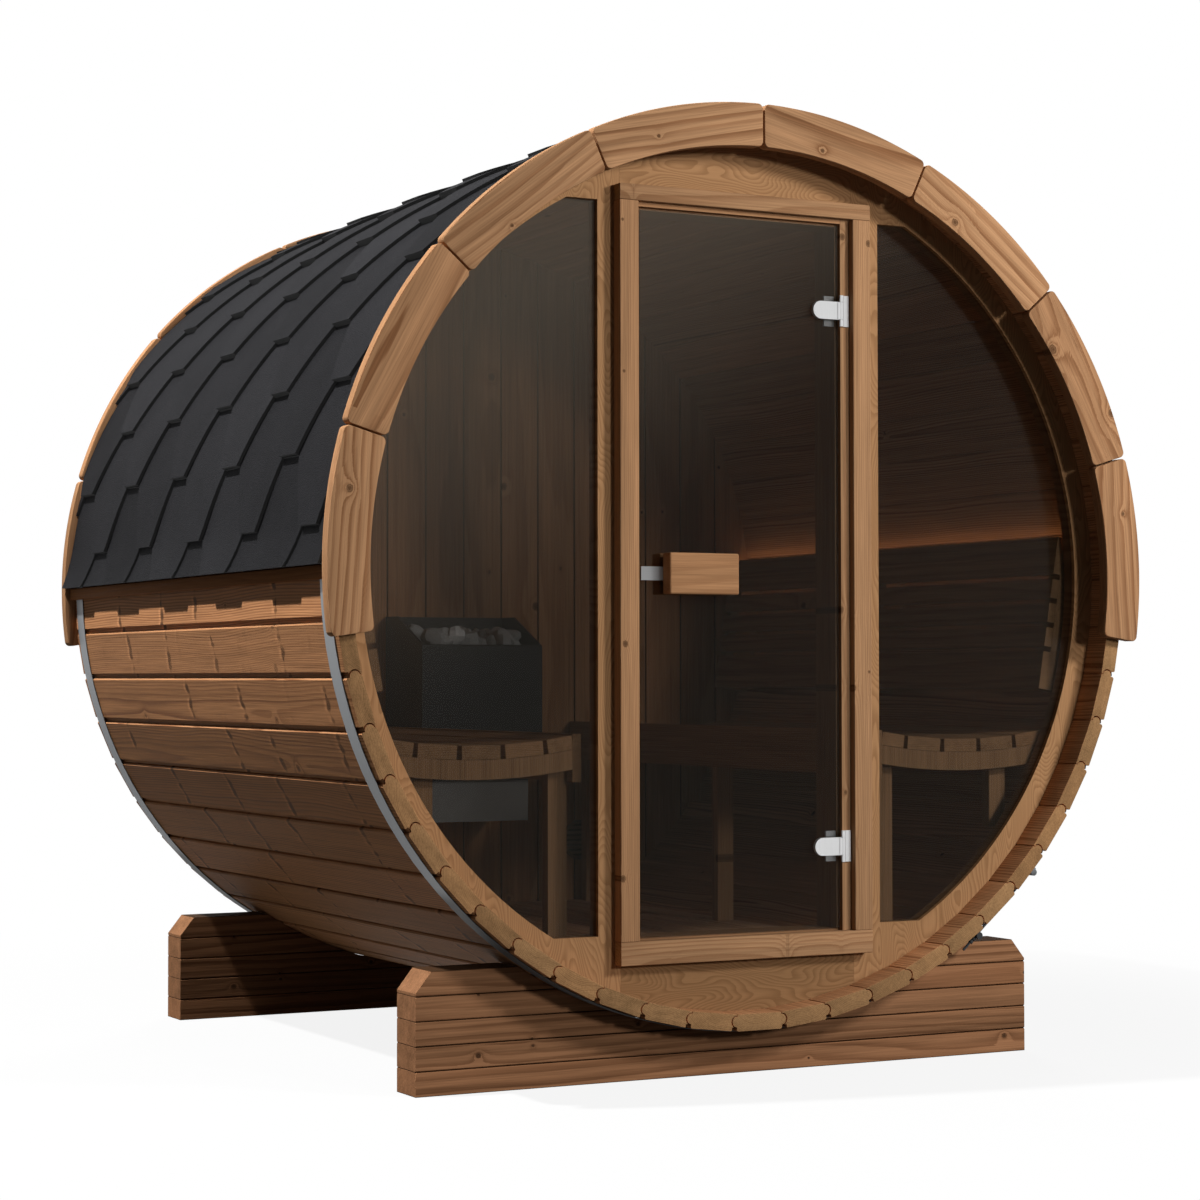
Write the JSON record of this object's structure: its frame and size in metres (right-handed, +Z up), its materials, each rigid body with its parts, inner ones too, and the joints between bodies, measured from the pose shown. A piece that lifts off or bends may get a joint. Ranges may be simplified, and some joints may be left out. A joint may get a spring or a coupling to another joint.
{
  "type": "barrel sauna",
  "caption": "Wooden barrel sauna cabin on two cradles, with a shingled roof, smoked glass front, swinging glass door, benches, backrests and a stone heater.",
  "frame": {"origin": "on the ground, under the middle of the barrel", "axes": "+Z up, +Y from the glass front to the rear wall along the barrel, +X to the right seen from the front"},
  "size_m": [2.069, 1.824, 2.1279],
  "materials": {
    "stave_wood": "oiled heat-treated softwood with grain and knots",
    "cradle_wood": "oiled heat-treated softwood with grain and knots",
    "fascia_wood": "oiled heat-treated softwood with grain and knots",
    "front_wall_wood": "oiled rotary-cut plywood face with broad flame grain",
    "casing_wood": "oiled heat-treated softwood with grain and knots",
    "handle_wood": "oiled heat-treated softwood with grain and knots",
    "rear_wall_wood": "oiled heat-treated softwood with grain and knots",
    "floor_wood": "oiled heat-treated softwood with grain and knots",
    "bench_wood": "oiled heat-treated softwood with grain and knots",
    "tinted_glass": "smoked bronze toughened glass",
    "band_steel": "galvanised strap steel",
    "hinge_steel": "satin steel",
    "roof_shingle": "charcoal mineral-grit roofing shingle",
    "heater_black": "matt black enamelled sheet steel",
    "heater_grey": "plain galvanised sheet steel",
    "heater_stone": "rough grey sauna stone",
    "vent_plastic": "matt brown plastic",
    "warm_light": "translucent warm light strip"
  },
  "bodies": {
    "sauna": {"floor_staves": "stave_wood", "left_staves": "stave_wood", "right_staves": "stave_wood", "roof_staves": "stave_wood", "front_cradle": "cradle_wood", "rear_cradle": "cradle_wood", "front_fascia": "fascia_wood", "rear_fascia": "fascia_wood", "left_eaves_batten": "fascia_wood", "right_eaves_batten": "fascia_wood", "front_wall_left": "front_wall_wood", "front_wall_right": "front_wall_wood", "front_wall_header": "front_wall_wood", "front_wall_sill": "front_wall_wood", "door_casing_left": "casing_wood", "door_casing_right": "casing_wood", "door_casing_head": "casing_wood", "door_casing_foot": "casing_wood", "door_jamb_left": "casing_wood", "door_jamb_right": "casing_wood", "door_jamb_head": "casing_wood", "door_jamb_sill": "casing_wood", "rear_wall": "rear_wall_wood", "floor_boards": "floor_wood", "floor_joists": "floor_wood", "left_bench_seat": "bench_wood", "left_bench_frame": "bench_wood", "right_bench_seat": "bench_wood", "right_bench_frame": "bench_wood", "left_backrest": "bench_wood", "right_backrest": "bench_wood", "left_window_glass": "tinted_glass", "right_window_glass": "tinted_glass", "front_band": "band_steel", "rear_band": "band_steel", "hinge_plates": "hinge_steel", "roof_cover": "roof_shingle", "heater_case": "heater_black", "heater_base": "heater_grey", "heater_stones": "heater_stone", "vent_grille": "vent_plastic", "light_strips": "warm_light"},
    "door": {"door_glass": "tinted_glass", "door_handle": "handle_wood", "latch_strap": "hinge_steel", "hinge_clamps": "hinge_steel"}
  },
  "joints": [
    {"name": "door_hinge", "type": "hinge", "parent": "sauna", "child": "door", "pos_m": [0.2495, -0.832, 1.102], "axis": [0, 0, 1], "range_deg": [0, 105]}
  ]
}
